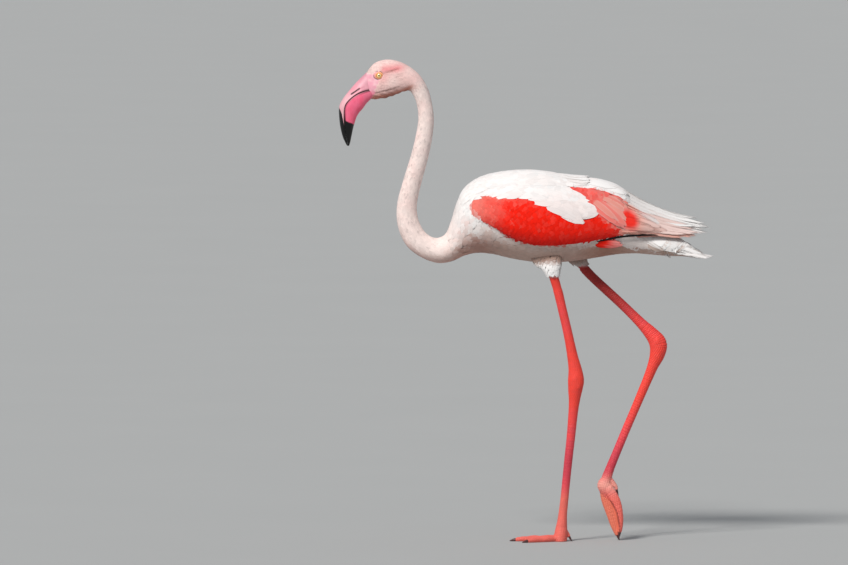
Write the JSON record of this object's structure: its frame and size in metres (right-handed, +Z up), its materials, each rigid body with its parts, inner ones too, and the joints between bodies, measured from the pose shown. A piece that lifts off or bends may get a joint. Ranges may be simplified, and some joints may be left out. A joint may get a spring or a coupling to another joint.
{
  "type": "greater flamingo",
  "caption": "Life-size still model of an adult greater flamingo walking, with an S-bent neck, a down-bent bill and long pink legs.",
  "frame": {"origin": "on the floor under the ball of the left foot, which carries the bird", "axes": "+Z up; the bird faces -X; its left side is -Y"},
  "size_m": [0.6529, 0.158, 0.8445],
  "materials": {
    "plumage": "matte white feathers with a faint pink cast",
    "face_pink": "short matte feathers, pale pink",
    "coverts": "matte vermilion feathers",
    "tertial_plumes": "matte pale pink plumes",
    "flight_black": "matte black feathers",
    "bill_pink": "satin horn, pale pink",
    "bill_rose": "satin horn, deep rose",
    "bill_black": "smooth black horn",
    "iris": "wet, pale yellow iris",
    "leg_skin": "scaled coral-red skin",
    "claw": "dark horn"
  },
  "bodies": {
    "root": {"ankle_left": "leg_skin", "ankle_right": "leg_skin", "bill_lower": "bill_rose", "bill_lower_tip": "bill_black", "bill_upper": "bill_pink", "bill_upper_tip": "bill_black", "claw_hind_left": "claw", "claw_hind_right": "claw", "claw_inner_left": "claw", "claw_inner_right": "claw", "claw_middle_left": "claw", "claw_middle_right": "claw", "claw_outer_left": "claw", "claw_outer_right": "claw", "eye_left": "iris", "eye_right": "iris", "foot_left": "leg_skin", "foot_right": "leg_skin", "head": "face_pink", "neck_base": "plumage", "neck_lower": "plumage", "neck_middle": "plumage", "neck_upper": "plumage", "primaries_left": "flight_black", "primaries_right": "flight_black", "scapulars_left": "plumage", "scapulars_right": "plumage", "shank_left": "leg_skin", "shank_right": "leg_skin", "tail": "plumage", "tarsus_left": "leg_skin", "tarsus_right": "leg_skin", "tertials_left": "tertial_plumes", "tertials_right": "tertial_plumes", "thigh_left": "plumage", "thigh_right": "plumage", "trunk": "plumage", "wing_left": "coverts", "wing_right": "coverts"}
  },
  "joints": []
}
